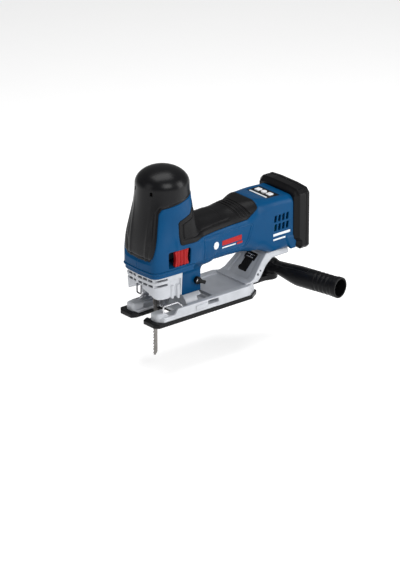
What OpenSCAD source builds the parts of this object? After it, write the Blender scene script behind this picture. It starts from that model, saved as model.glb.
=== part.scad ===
// Cordless barrel-grip jigsaw. Millimetres.
// Front is -X, left is -Y, up is +Z. The origin is on the sole, on the blade's line.

/* [Base] */
// Length of the glide shoe
shoe_l = 175; // [172:1:178]
// Width of the glide shoe
shoe_w = 78; // [76:1:80]
// Height of the shoe's rim
shoe_h = 6; // [5:0.5:6]
// Height of the side rails above the sole
rail_h = 18; // [17:0.5:18]
// Height of the flat rear deck
deck_h = 17; // [16:0.5:17]

/* [Tilt] */
// Height of the tilt axis above the sole
tilt_z = 4; // [4:0.5:5]
// Radius of the saddle that the leg turns on
saddle_r = 18; // [17.5:0.5:18]
// Radius of the rear arch's sliding face
arch_r = 49.2; // [48.5:0.1:49.5]

/* [Drive] */
// Height of the motor axis
motor_z = 90; // [89.5:0.5:90]
// Blade stroke
stroke = 26; // [20:1:26]
// Teeth on the crank gear
crank_teeth = 48; // [48]
// Teeth on the pinion
pinion_teeth = 12; // [12]
// Radius of the plunger rod
rod_r = 6; // [5.5:0.5:6]

/* [Housing] */
// Half-width of the column
column_hw = 36; // [35:0.5:36]
// Wall of the housing shells
wall = 3; // [2.5:0.5:3]
// Radius of the hood's dome
dome_r = 35.6; // [35:0.2:36]

/* [Dust nozzle] */
// Outside radius of the hose end
nozzle_r = 14; // [13:0.5:14]
// Inside radius of the hose end
port_r = 12; // [11:0.5:12]
// Angle of the nozzle at rest, from straight back
nozzle_angle = -77.7; // [-85:0.1:-70]

/* [Hidden] */
$fn = 48;
hull_fn = 28;
slice_t = 0.6;
gap = 0.05;
front_x = -30;
shoe_t = 2.5;
cast_hw = shoe_w/2 - 1.4;
rail_in = 28;
trough_x1 = 76;
cast_x0 = front_x + 1.4;
cast_x1 = front_x + shoe_l - 1.4;
slot_x1 = 22;
duct_x = 190;
duct_hw = 9;
crank_z = motor_z + (crank_teeth + pinion_teeth)/2;
crank_r = stroke/2;
gear_x = [22, 29];
plate_x = [32, 37];
lever_p = [148.5, 0, 25.5];
orbit_p = [61, 0, 36];
fork_p = [22, 0, 52];
arch_screw_x = [129, 135];
roller_p = [11.3, 0, 18];
swivel = [duct_x, 0, 0];
light_p = [-14, 14, 44.5];
flange_x = [207.5, 226];
key_y = [-11, 0, 11];
nozzle_l = 116;

// A round bar along +X from x0 to x1, centred on the given point of the YZ plane.
module bar_x(r, x0, x1, y = 0, z = 0) translate([x0, y, z]) rotate([0, 90, 0]) cylinder(r = r, h = x1 - x0);
// A round bar along Y.
module bar_y(r, y0, y1, x = 0, z = 0) translate([x, y1, z]) rotate([90, 0, 0]) cylinder(r = r, h = y1 - y0);
// A block between two corners.
module block(a, b) translate(a) cube(b - a);
// A block that is the same on both sides of the middle plane.
module mid(x0, x1, hw, z0, z1) block([x0, -hw, z0], [x1, hw, z1]);
// A side profile of X and Z points, made hw thick each way.
module side(hw, points) rotate([90, 0, 0]) linear_extrude(2*hw, center = true) polygon(points);
// A front profile of Y and Z points, from x0 to x1.
module front(x0, x1, points) translate([x0, 0, 0]) rotate([90, 0, 90]) linear_extrude(x1 - x0) polygon(points);
// Both sides of the middle plane.
module both() {
  children();
  mirror([0, 1, 0]) children();
}
// Everything nearer to the tilt axis than r.
module tilt_core(r, x0, x1) bar_x(r, x0, x1, 0, tilt_z, $fn = 96);

// The base seen from above, with bevelled rear corners.
module plan(hw, x0, x1) polygon([[x0 + 5, -hw], [x1 - 15, -hw], [x1, -hw + 9], [x1, hw - 9],
  [x1 - 15, hw], [x0 + 5, hw], [x0, hw - 4], [x0, -hw + 4]]);
// The blade slot, open at the front.
module blade_slot(hw, mouth) polygon([[front_x - 1, -mouth - 1], [front_x + 7, -hw], [slot_x1 - 4, -hw],
  [slot_x1, -hw + 4], [slot_x1, hw - 4], [slot_x1 - 4, hw], [front_x + 7, hw], [front_x - 1, mouth + 1]]);

module sole_shoe() color("#1b1b1d") difference() {
  linear_extrude(shoe_h) plan(shoe_w/2, front_x, front_x + shoe_l);
  translate([0, 0, shoe_t]) linear_extrude(shoe_h) plan(cast_hw + gap, cast_x0 - gap, cast_x1 + gap);
  translate([0, 0, -1]) linear_extrude(9) blade_slot(9, 15);
  mid(cast_x1 - 2, cast_x1 + 9, duct_hw + gap, shoe_t, shoe_h + 1);
}

module base_plate() color("silver") difference() {
  intersection() {
    linear_extrude(rail_h) plan(cast_hw, cast_x0, cast_x1);
    union() {
      mid(cast_x0, cast_x1, cast_hw, shoe_t + gap, 7);
      both() block([cast_x0, rail_in, shoe_t + gap], [cast_x1, cast_hw, rail_h]);
      mid(trough_x1, cast_x1, cast_hw, shoe_t + gap, deck_h);
      both() block([cast_x0, 16, 6], [-16, rail_in + 1, 13]);
      intersection() {
        tilt_core(saddle_r, 32, 66);
        mid(32, 66, saddle_r, 6, 30);
      }
    }
  }
  translate([0, 0, -1]) linear_extrude(40) blade_slot(14, 18);
  mid(trough_x1 - 4, cast_x1 + 2, duct_hw + 0.2, 0, 10.9);
  mid(124.9, 150, 31.05, deck_h, deck_h + 3);
  both() block([82, 13, 0], [140, 28, 13]);
  mid(58, 75, 60, 11, 16);
  both() for (x = arch_screw_x) translate([x, 24, 8]) cylinder(r = 2, h = 20);
}

module rear_arch() color("silver") difference() {
  intersection() {
    side(32, [[125, 17.05], [125, 19.5], [137, 19.5], [141.7, 22], [147, 28.5], [158, 39], [168, 49],
      [171, 54], [204, 54], [204, 40], [175, 40], [171, 38.5], [163, 32], [152, 21], [148, 17.05]]);
    front(120, 206, [[-31, 17], [31, 17], [31, 21], [22, 50], [22, 55], [-22, 55], [-22, 50], [-31, 21]]);
    tilt_core(arch_r, 120, 206);
  }
  intersection() {
    tilt_core(arch_r - 5.5, 178, 210);
    mid(178, 210, 18.5, 30, 60);
  }
  mid(173, 190, 18.5, 39, 46.8);
  translate(lever_p) rotate([0, -45, 0]) mid(-4.5, 26, 11, -14, 16);
  bar_y(1.6, -14, 14, lever_p.x, lever_p.z);
  both() for (x = arch_screw_x) translate([x, 24, 16]) cylinder(r = 2, h = 3);
}

// Screws that hold the arch, put in from below.
module arch_screws() color("#8a8a8e") both() for (x = arch_screw_x) translate([x, 24, 0]) difference() {
  union() {
    translate([0, 0, 12.5]) cylinder(r = 1.95, h = 6.4);
    translate([0, 0, 10.3]) cylinder(r = 3.4, h = 2.6);
  }
  translate([0, 0, 9]) cylinder(r = 1.7, h = 2.9, $fn = 6);
}

module lever_pin() color("#9a9a9e") bar_y(1.6, -13.8, 13.8, lever_p.x, lever_p.z);

module clamp_lever() color("#202022") translate(lever_p) rotate([0, -45, 0]) difference() {
  union() {
    mid(0, 24, 7.5, -2.5, 2.5);
    mid(16.5, 24.5, 10.4, -2.5, 3.6);
    bar_y(3.6, -10.4, 10.4);
  }
  bar_y(1.66, -12, 12);
  mid(5, 14, 4.5, 1, 4);
}

module dust_duct() color("#1b1b1d") difference() {
  union() {
    mid(78, 182, duct_hw, 2.6, 10.6);
    translate(swivel + [0, 0, 2.6]) cylinder(r = 12, h = 9.4);
  }
  mid(77, 190, duct_hw - 1.6, 4.2, 9);
  translate(swivel + [0, 0, 5]) cylinder(r = 9.05, h = 8);
}

// The dust nozzle's outside as a turned profile along its length.
function nozzle_profile() = [[38, 0], [38, 11.6], [52, 12.6], [60, 13], [60, nozzle_r], [64, nozzle_r],
  [64, 13.2], [78, 13.4], [78, nozzle_r], [82, nozzle_r], [82, 13.4], [94, 13.4], [94, nozzle_r],
  [98, nozzle_r], [98, 13.4], [108, 13.4], [108, nozzle_r], [nozzle_l, nozzle_r], [nozzle_l, 0]];

module dust_nozzle() color("#1b1b1d") translate(swivel) rotate([0, 0, nozzle_angle]) difference() {
  union() {
    translate([0, 0, 6]) cylinder(r = 9, h = 8);
    translate([0, 0, 12.3]) cylinder(r = 11.5, h = 15.5);
    mid(0, 14, 8, 12.3, 26);
    bar_x(11.2, 12.4, 40, 0, 16.5);
    translate([0, 0, 16.5]) rotate([90, 0, 90]) rotate_extrude() polygon([for (p = nozzle_profile()) [p.y, p.x]]);
  }
  translate([0, 0, 5]) cylinder(r = 7.4, h = 19);
  mid(0, 16, 6, 14, 23.5);
  bar_x(9, 14, 45, 0, 16.5);
  bar_x(port_r, 44, nozzle_l + 1, 0, 16.5);
}

// Discs that outline the column at one height: nose, cheeks and rear, inset by d.
module column_slice(z, nose_x, rear_x, hw, d) {
  both() translate([nose_x + 10, 20.5, z]) cylinder(r = 10 - d, h = slice_t, $fn = hull_fn);
  both() translate([8, hw - 16, z]) cylinder(r = 16 - d, h = slice_t, $fn = hull_fn);
  both() translate([rear_x - 20, hw - 19, z]) cylinder(r = 19 - d, h = slice_t, $fn = hull_fn);
}
// The heights, nose places and half-widths of the column's sections.
function column_sections(z0) = [[z0, front_x, column_hw - 1], [96, front_x, column_hw],
  [140, front_x + 3.6, column_hw], [165, front_x + 6, column_hw - 0.2]];
// A disc of the dome at an angle above its rim, inset by d.
module dome_disc(a, d) translate([12, 0, 180 + 23*sin(a) - d]) cylinder(r = (dome_r - d)*cos(a), h = slice_t, $fn = 32);
// The column and its dome, inset by d.
module column(d, z0) {
  list = column_sections(z0);
  for (n = [0:2]) hull() for (s = [list[n], list[n + 1]]) column_slice(s[0], s[1], 50, s[2], d);
  hull() {
    column_slice(list[3][0], list[3][1], 50, list[3][2], d);
    for (a = [0:17:85]) dome_disc(a, d);
  }
}
// Corner discs of one cross-section of the barrel or the rear block, inset by d.
module barrel_slice(x, z0, z1, hw, r, d) both() {
  bar_x(r - d, x, x + slice_t, hw - r, z0 + r, $fn = hull_fn);
  bar_x(r - d, x, x + slice_t, hw - r, z1 - r, $fn = hull_fn);
}
// Cross-sections from the column to the battery flange: X, bottom, top, half-width, corner radius.
sections = [[36, 73.3, 120.5, 30, 23.4], [46, 73.3, 121, 30, 23.6], [58, 57.3, 122, 32.3, 30],
  [122, 57, 123, 32.5, 30], [146, 56, 127, 32.8, 20], [170, 50, 124, 33, 12], [207.4, 50, 122, 33, 12]];
module barrel(d, n0, n1) for (n = [n0:n1]) hull() for (s = [sections[n], sections[n + 1]])
  barrel_slice(min(s[0], 206.9 - d), s[1], s[2], s[3], s[4], d);
// The closed outer form of the clamshell, inset by d.
module envelope(d) {
  column(d, 73.2);
  difference() {
    barrel(d, 0, 5);
    tilt_core(arch_r + 0.5 + d, 100, 207.4 - d);
  }
}
// Everything that the black hood covers.
module hood_zone(grow = 0) side(60, [[-50, 84 - grow], [-17 + grow, 84 - grow], [-11 + grow, 150],
  [-6, 159 - grow], [37, 167 - grow], [70, 171 - grow], [70, 230], [-50, 230]]);
// Everything that the rubber grip cover lies on.
module grip_zone() side(60, [[54, 108.5], [62, 103.5], [78, 107.5], [126, 107.5], [136, 116], [145, 124],
  [145, 140], [54, 140]]);
// The window that a switch slider moves in.
module switch_window() both() block([-5.5, 26, 75.4], [29.5, 50, 97.6]);

module clamshell() difference() {
  envelope(0);
  envelope(wall);
  column_core();
  hood_zone(0.1);
  difference() {
    grip_zone();
    barrel(2.2, 1, 4);
  }
  switch_window();
  both() for (n = [0:3], z = [82, 94]) block([173 + 7*n, 20, z], [176.5 + 7*n, 50, z + 8]);
  mid(168.5, 191.5, 20.2, 119.9, 140);
}
module column_core() translate([0, 0, 60]) linear_extrude(20) projection_core();
module projection_core() both() {
  translate([-8, 8]) circle(r = 12);
  polygon([[-8, -1], [-8, 20], [4, 30], [44, 30], [44, -1]]);
}

module housing_left() color("#1f4f94") intersection() {
  clamshell();
  block([-60, -60, 0], [260, 0, 230]);
}
module housing_right() color("#1f4f94") difference() {
  intersection() {
    clamshell();
    block([-60, 0, 0], [260, 60, 230]);
  }
  for (p = screw_at) bar_y(3.1, 20, 50, p.x, p.y);
}
module front_hood() color("#18181a") intersection() {
  difference() {
    column(0, 73.2);
    column(wall, 72);
  }
  hood_zone();
}
module grip_cover() color("#1c1c1e") difference() {
  intersection() {
    barrel(0, 1, 4);
    grip_zone();
  }
  barrel(2.15, 1, 4);
}

module collar() color("#1f4f94") difference() {
  hull() {
    column_slice(65, front_x, 50, column_hw - 2, 0);
    column_slice(71, front_x - 1, 51, column_hw, 0);
    column_slice(72.5, front_x, 50, column_hw - 1, 0);
  }
  translate([0, 0, 8]) column_core();
  translate([0, 0, 60]) cylinder(r = 12, h = 20);
  block([45.9, -60, 60], [60, 60, 80]);
}

module gear_housing() color("silver") difference() {
  union() {
    difference() {
      hull() {
        column_slice(64.3, front_x, 33, column_hw - 3, 0);
        column_slice(52, front_x, 33, column_hw - 4, 0);
        column_slice(34, front_x + 6, 30, column_hw - 9, 0);
      }
      tilt_core(41.4, -40, 60);
      block([18.5, -60, 30], [70, 60, 70]);
      translate([0, 0, 47]) linear_extrude(18.5) projection_core();
    }
    mid(0, 31, 9, 33, 50);
    mid(0, 31, 12, 46, 64.8);
  }
  translate([0, 0, 30]) cylinder(r = 10.5, h = 40);
  mid(-40, 9, 6.2, 30, 50);
  mid(7, 29, 7.3, 30, 60.5);
  bar_y(2, -12.5, 12.5, fork_p.x, fork_p.z);
  both() translate([light_p.x, light_p.y, 30]) cylinder(r = 2.5, h = 17);
}

module guard_wire() color("#3a3a3e") {
  both() translate([-26.5, 4, 38]) cylinder(r = 1, h = 11.95);
  bar_y(1, -5, 5, -26.5, 38);
}

module tilt_leg() color("#1f4f94") difference() {
  front(36, 70, [[-9, 18], [9, 18], [9, 44], [17, 56], [17, 64.9],
    [-17, 64.9], [-17, 56], [-9, 44]]);
  tilt_core(saddle_r + 0.35, 30, 70);
  bar_y(3.05, -20, 20, orbit_p.x, orbit_p.z);
  side(30, [[51.5, 66], [51.5, 64], [58, 56.8], [71, 56.8], [71, 66]]);
}

module battery_mount() color("#19191b") difference() {
  front(flange_x[0], flange_x[1], [[-35, 46], [35, 46], [39, 50], [39.5, 124], [34, 129.5], [16, 131],
    [-16, 131], [-34, 129.5], [-39.5, 124], [-39, 50]]);
  mid(flange_x[1] - 11, flange_x[1] - 4, 31, 40, 112);
  mid(flange_x[1] - 5, flange_x[1] + 1, 26, 40, 112);
}

module terminal_block() color("#b5793a") {
  mid(215.05, 221.5, 22, 102, 111.9);
  for (y = [-15, -5, 5, 15]) translate([0, y, 0]) mid(215.6, 220.6, 0.5, 91, 103);
}

// Screw bosses' places on the right-hand side: X and Z.
screw_at = [[14, 104], [58, 90], [126, 90], [160, 70], [198, 70], [198, 112]];
// How far out the head of a screw at X = x lies.
function screw_y(x) = x < 50 ? 35.4 : x < 130 ? 31.8 : 32.4;
module housing_screws() color("#8a8a8e") for (p = screw_at) difference() {
  bar_y(3, 25.2, screw_y(p.x), p.x, p.y);
  bar_y(1.5, screw_y(p.x) - 2.4, 38, p.x, p.y, $fn = 6);
}

module gear_frame() color("#a8a8ac") difference() {
  union() {
    front(plate_x[0], plate_x[1], [[-22, 76], [22, 76], [22, 116], [12, 150], [10, 168], [-10, 168],
      [-12, 150], [-22, 116]]);
    mid(-4, plate_x[1], 10, 76, 86);
    translate([0, 0, 76]) cylinder(r = 11, h = 10);
    mid(-4, plate_x[1], 10, 158, 168);
    translate([0, 0, 158]) cylinder(r = 11, h = 10);
  }
  for (z = [75, 157]) translate([0, 0, z]) cylinder(r = 8.5, h = 12);
  bar_x(8.2, 20.3, 31.9, 0, motor_z);
  bar_x(8, 30, 40, 0, motor_z);
  bar_x(4, 30, 40, 0, crank_z);
}

module bush(z0, z1, r) translate([0, 0, z0]) difference() {
  cylinder(r = r, h = z1 - z0);
  translate([0, 0, -1]) cylinder(r = rod_r + gap, h = z1 - z0 + 2);
}
module lower_bush() color("#b08a4a") bush(76, 86, 8.5);
module upper_bush() color("#b08a4a") bush(158, 168, 8.5);
module plunger_seal() color("#2a2a2a") bush(71, 75.9, 9.5);
module crank_axle() color("#9a9a9e") bar_x(4, 19.5, 37, 0, crank_z);

module bearing(x0, x1, r, bore) color("#9a9a9e") difference() {
  bar_x(r, x0, x1, 0, motor_z);
  bar_x(bore, x0 - 1, x1 + 1, 0, motor_z);
}
module front_bearing() bearing(plate_x[0], plate_x[1], 8, 2.55);
module rear_bearing() bearing(115, 120, 8, 2.55);
module end_shield() bearing(110.05, 120, 18, 8);
module stator() color("#b5793a") difference() {
  bar_x(26, 66, 110, 0, motor_z);
  bar_x(15, 64, 112, 0, motor_z);
}

module plunger() color("#a0a0a4") difference() {
  union() {
    translate([0, 0, 57.2]) cylinder(r = rod_r, h = 123.2);
    translate([0, 0, 40]) cylinder(r = 5, h = 18);
  }
  mid(-3.6, 3.6, 0.65, 30, 52);
}
module yoke() color("#77777b") difference() {
  union() {
    mid(7.5, 13.5, 21, crank_z - 8, crank_z + 8);
    translate([0, 0, crank_z - 8]) cylinder(r = 9.5, h = 16);
  }
  mid(6.2, 15, 17, crank_z - 3.7, crank_z + 3.7);
  translate([0, 0, crank_z - 9]) cylinder(r = rod_r, h = 20);
}
// Saw teeth along the front edge.
module blade() color("#8f9296") side(0.6, concat([[3.5, 51], [3.5, -51], [0, -55]],
  [for (n = [0:16]) each [[-3.2, -53 + 4*n], [-1.6, -50 + 4*n]]], [[-3.5, 16], [-3.5, 51]]));
module clamp_ring() color("#55555a") translate([0, 0, 40]) difference() {
  cylinder(r = 6.6, h = 2);
  translate([0, 0, -1]) cylinder(r = 5, h = 4);
}
module clamp_sleeve() color("#2b2b2e") translate([0, 0, 42.1]) difference() {
  union() {
    cylinder(r = 7.6, h = 15);
    for (a = [0:45:315]) rotate([0, 0, a]) translate([7.4, 0, 1]) cylinder(r = 0.7, h = 12, $fn = 12);
  }
  translate([0, 0, -1]) cylinder(r = 5.06, h = 18);
}

// A spur gear's outline with straight-sided teeth.
function tooth(n, i, pr) = let (a = 360/n*i, p = 360/n) [
  [(pr - 1.25)*cos(a - 0.30*p), (pr - 1.25)*sin(a - 0.30*p)], [(pr + 0.9)*cos(a - 0.12*p), (pr + 0.9)*sin(a - 0.12*p)],
  [(pr + 0.9)*cos(a + 0.12*p), (pr + 0.9)*sin(a + 0.12*p)], [(pr - 1.25)*cos(a + 0.30*p), (pr - 1.25)*sin(a + 0.30*p)]];
module gear_x_axis(n, x0, x1, phase) translate([x0, 0, 0]) rotate([90, 0, 90]) rotate([0, 0, phase])
  linear_extrude(x1 - x0) polygon([for (i = [0:n - 1]) each tooth(n, i, n/2)]);

module crank_gear() color("#77777b") translate([0, 0, crank_z]) difference() {
  gear_x_axis(crank_teeth, gear_x[0], gear_x[1], 0);
  bar_x(4.06, 10, 40);
  bar_x(3, 10, 40, crank_r, 0);
}
module balance_weight() color("#66666a") translate([0, 0, crank_z]) intersection() {
  difference() {
    bar_x(21, 29, 31);
    bar_x(8, 28, 32);
  }
  block([28, -30, -30], [32, -2, 30]);
}
module crank_pin() color("#9a9a9e") translate([0, 0, crank_z]) bar_x(3, 14.5, 29, crank_r, 0);
module pinion() color("#8a8a8e") translate([0, 0, motor_z]) difference() {
  gear_x_axis(pinion_teeth, gear_x[0], gear_x[1], 15);
  bar_x(2.5, 10, 40);
}
module rotor() color("#6b6b70") {
  bar_x(2.5, 20.5, 124, 0, motor_z);
  bar_x(14.4, 68, 108, 0, motor_z);
}
module fan() color("#303034") {
  difference() {
    bar_x(7, 54, 62, 0, motor_z);
    bar_x(2.5, 50, 66, 0, motor_z);
  }
  for (a = [0:40:320]) translate([55, 0, motor_z]) rotate([a, 0, 0]) block([0, 6, -0.6], [6, 22, 0.6]);
  difference() {
    bar_x(22, 54, 55.2, 0, motor_z);
    bar_x(6.5, 50, 66, 0, motor_z);
  }
}

// A slide switch with upright ribs, on the right-hand side.
module slider() {
  block([2, 28, 76], [28, 33, 97]);
  for (n = [0:6]) block([3 + 3.6*n, 30, 77 + 0.7*abs(n - 3)], [5.4 + 3.6*n, 36.4, 96 - 0.7*abs(n - 3)]);
}
module switch_right() color("#c8202c") slider();
module switch_left() color("#c8202c") mirror([0, 1, 0]) slider();
module switch_link() color("#303034") mid(15, 20, 28, 88, 91);
module switch_module() color("#303034") block([8, 12, 76.5], [30, 24, 86.5]);

module orbital_lever() color("#3c3f44") translate(orbit_p) difference() {
  union() {
    bar_y(5, -14, -9.3);
    rotate([0, 25, 0]) block([0, -15, -2.4], [12.5, -10, 2.4]);
  }
  bar_y(3, -20, 0);
}
module orbital_shaft() color("#9a9a9e") bar_y(3, -13.6, 9.6, orbit_p.x, orbit_p.z);

// One cheek of the roller fork, as an X and Z outline.
module fork_cheek() rotate([90, 0, 0]) linear_extrude(2.4, center = true) polygon([[7.8, 14], [15.4, 14],
  [27, 46], [27, 56], [18, 57], [16, 48], [10.5, 27], [7.8, 23]]);
module roller_fork() color("#77777b") difference() {
  union() {
    both() translate([0, 5.7, 0]) fork_cheek();
    mid(19.5, 26.5, 5.7, 43, 47);
  }
  bar_y(2.06, -9, 9, fork_p.x, fork_p.z);
  bar_y(1.6, -9, 9, roller_p.x, roller_p.z);
}
module fork_pin() color("#9a9a9e") bar_y(2, -12, 12, fork_p.x, fork_p.z);
module roller_axle() color("#9a9a9e") bar_y(1.6, -6.9, 6.9, roller_p.x, roller_p.z);
module guide_roller() color("#9a9a9e") translate(roller_p) difference() {
  rotate([90, 0, 0]) rotate_extrude() polygon([[0, -4.2], [7.4, -4.2], [8, -3.6], [8, -0.9], [6.6, -0.9],
    [6.6, 0.9], [8, 0.9], [8, 3.6], [7.4, 4.2], [0, 4.2]]);
  bar_y(1.66, -6, 6);
}

module control_board() color("#1e5b34") {
  mid(157, 202, 25, 63, 64.6);
  mid(158, 174, 12, 64.6, 74);
  both() translate([184, 12, 64.6]) cylinder(r = 7, h = 16);
}
module motor_leads() color("#a02020") for (y = [-8, 0, 8]) {
  bar_x(1.3, 110.05, 154, y, motor_z - 21);
  translate([154, y, 65]) cylinder(r = 1.3, h = 4);
  bar_x(1.3, 153, 157.95, y, 66);
}
module control_panel() color("#222226") difference() {
  mid(169, 191, 20, 119.9, 122.9);
  for (y = key_y) translate([0, y, 0]) mid(177.9, 186.1, 4.1, 121.4, 130);
}
module light_bar() color("#d8e4ee") mid(170.5, 173.5, 17, 122.9, 123.3);
module key(y) translate([0, y, 0]) mid(178, 186, 4, 122.1, 124.3);
module key_minus() color("#e8e8ea") key(key_y[0]);
module key_plus() color("#e8e8ea") key(key_y[2]);
module key_round() color("#e8e8ea") translate([182, key_y[1], 122.1]) cylinder(r = 4, h = 2.2);
module work_lights() color("#f2f2e6") both() translate(light_p) cylinder(r = 2.4, h = 2.4);

sole_shoe();
base_plate();
rear_arch();
arch_screws();
lever_pin();
dust_duct();
clamp_lever();
dust_nozzle();
housing_left();
housing_right();
front_hood();
collar();
gear_housing();
tilt_leg();
grip_cover();
battery_mount();
housing_screws();
gear_frame();
lower_bush();
upper_bush();
plunger_seal();
crank_axle();
front_bearing();
rear_bearing();
end_shield();
stator();
plunger();
yoke();
blade();
clamp_ring();
clamp_sleeve();
crank_gear();
balance_weight();
crank_pin();
rotor();
pinion();
fan();
switch_left();
switch_right();
switch_link();
switch_module();
orbital_lever();
orbital_shaft();
roller_fork();
fork_pin();
roller_axle();
guide_roller();
guard_wire();
control_board();
motor_leads();
control_panel();
light_bar();
key_minus();
key_plus();
key_round();
terminal_block();
work_lights();
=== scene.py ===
"""Looks of a cordless barrel-grip jigsaw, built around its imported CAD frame.

Front is -X, left is -Y, up is +Z. Lengths are in mm here, and in metres in the meshes.
"""
import math

import bpy
import numpy as np
import openvdb
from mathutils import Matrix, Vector


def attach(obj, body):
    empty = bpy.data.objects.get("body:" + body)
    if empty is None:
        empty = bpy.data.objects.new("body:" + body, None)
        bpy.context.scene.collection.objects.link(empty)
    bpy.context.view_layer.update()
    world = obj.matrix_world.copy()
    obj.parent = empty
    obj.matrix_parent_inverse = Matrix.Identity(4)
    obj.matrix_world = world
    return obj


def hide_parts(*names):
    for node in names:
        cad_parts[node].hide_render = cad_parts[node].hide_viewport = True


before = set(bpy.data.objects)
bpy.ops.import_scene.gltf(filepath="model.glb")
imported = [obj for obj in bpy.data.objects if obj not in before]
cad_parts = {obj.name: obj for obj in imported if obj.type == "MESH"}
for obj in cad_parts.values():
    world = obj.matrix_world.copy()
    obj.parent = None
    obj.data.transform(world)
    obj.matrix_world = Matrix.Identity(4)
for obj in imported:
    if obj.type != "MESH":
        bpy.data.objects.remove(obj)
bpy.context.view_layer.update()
MM = 0.001
# voxel sizes: for the large shells, and for parts with small features
FINE = 0.75
DETAIL = 0.5


# ---------------------------------------------------------------- distance fields
def smin(a, b, k):
    """Union with a fillet of about k."""
    h = np.clip(0.5 + 0.5 * (b - a) / k, 0, 1)
    return b + (a - b) * h - k * h * (1 - h)


def smax(a, b, k):
    """Intersection with a rounded edge of about k."""
    return -smin(-a, -b, k)


def ease(t):
    """A smooth step from 0 to 1."""
    t = np.clip(t, 0, 1)
    return t * t * (3 - 2 * t)


def box(x, y, z, lo, hi, r=0.0):
    """Rounded box between two corners."""
    c = [(a + b) / 2 for a, b in zip(lo, hi)]
    h = [(b - a) / 2 - r for a, b in zip(lo, hi)]
    qx, qy, qz = np.abs(x - c[0]) - h[0], np.abs(y - c[1]) - h[1], np.abs(z - c[2]) - h[2]
    out = np.sqrt(np.maximum(qx, 0) ** 2 + np.maximum(qy, 0) ** 2 + np.maximum(qz, 0) ** 2)
    return out + np.minimum(np.maximum(np.maximum(qx, qy), qz), 0) - r


def poly(u, v, points, r=0.0):
    """Signed distance to a closed outline, grown by r."""
    u, v = np.broadcast_arrays(u, v)
    best = np.full(u.shape, 1e9)
    sign = np.ones(u.shape)
    last = points[-1]
    for p in points:
        ex, ey = last[0] - p[0], last[1] - p[1]
        wx, wy = u - p[0], v - p[1]
        t = np.clip((wx * ex + wy * ey) / (ex * ex + ey * ey), 0, 1)
        best = np.minimum(best, (wx - ex * t) ** 2 + (wy - ey * t) ** 2)
        a, b, c = v >= p[1], v < last[1], ex * wy > ey * wx
        sign = np.where((a & b & c) | ~(a | b | c), -sign, sign)
        last = p
    return sign * np.sqrt(best) - r


def slab(d2, w, half, r=0.0):
    """A 2D distance given a thickness of half each way along w, with edge rounding r."""
    a, b = d2 + r, np.abs(w) - half + r
    return np.sqrt(np.maximum(a, 0) ** 2 + np.maximum(b, 0) ** 2) + np.minimum(np.maximum(a, b), 0) - r


def rod(x, y, z, a, b, r):
    """Capsule from a to b."""
    a, b = np.array(a, float), np.array(b, float)
    d = b - a
    t = np.clip(((x - a[0]) * d[0] + (y - a[1]) * d[1] + (z - a[2]) * d[2]) / (d @ d), 0, 1)
    return np.sqrt((x - a[0] - d[0] * t) ** 2 + (y - a[1] - d[1] * t) ** 2 + (z - a[2] - d[2] * t) ** 2) - r


def disc(u, v, w, r, w0, w1, k=0.4):
    """Cylinder of radius r about w, from w0 to w1."""
    return smax(np.sqrt(u * u + v * v) - r, np.abs(w - (w0 + w1) / 2) - (w1 - w0) / 2, k)


# ---------------------------------------------------------------- meshing
def put_mesh(name, points, faces):
    """A smooth-shaded object from points in mm."""
    mesh = bpy.data.meshes.new(name)
    mesh.from_pydata((np.asarray(points) * MM).tolist(), [], [list(map(int, f)) for f in faces])
    mesh.validate()
    mesh.shade_smooth()
    piece = bpy.data.objects.new(name, mesh)
    bpy.context.scene.collection.objects.link(piece)
    return piece


PROBE = 0.04          # step for a field's slope, mm
PASSES = 2            # how many times the points are drawn onto the surface


def form(name, field, lo, hi, voxel):
    """The zero surface of a distance field, as a mesh whose points are drawn onto the true surface."""
    band = 3 * voxel
    start = np.array(lo, float) - 2 * voxel
    count = [int((hi[i] - start[i]) / voxel) + 3 for i in range(3)]
    ax = [(start[i] + voxel * np.arange(count[i])).astype(np.float32) for i in range(3)]
    x, y, z = ax[0][:, None, None], ax[1][None, :, None], ax[2][None, None, :]
    values = np.broadcast_to(field(x, y, z), count)
    values = np.clip(values, -band, band).astype(np.float32)
    grid = openvdb.FloatGrid(band)
    grid.copyFromArray(np.ascontiguousarray(values))
    points, quads = grid.convertToQuads(isovalue=0.0)
    p = points.astype(float) * voxel + start
    for _ in range(PASSES):
        d = field(*p.T)
        g = np.stack([field(*(p + PROBE * axis).T) - d for axis in np.eye(3)], 1) / PROBE
        step = (d / np.maximum((g * g).sum(1), 0.3))[:, None] * g
        p = p - np.clip(step, -0.4 * voxel, 0.4 * voxel)
    return put_mesh(name, p, quads[:, ::-1])


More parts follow.
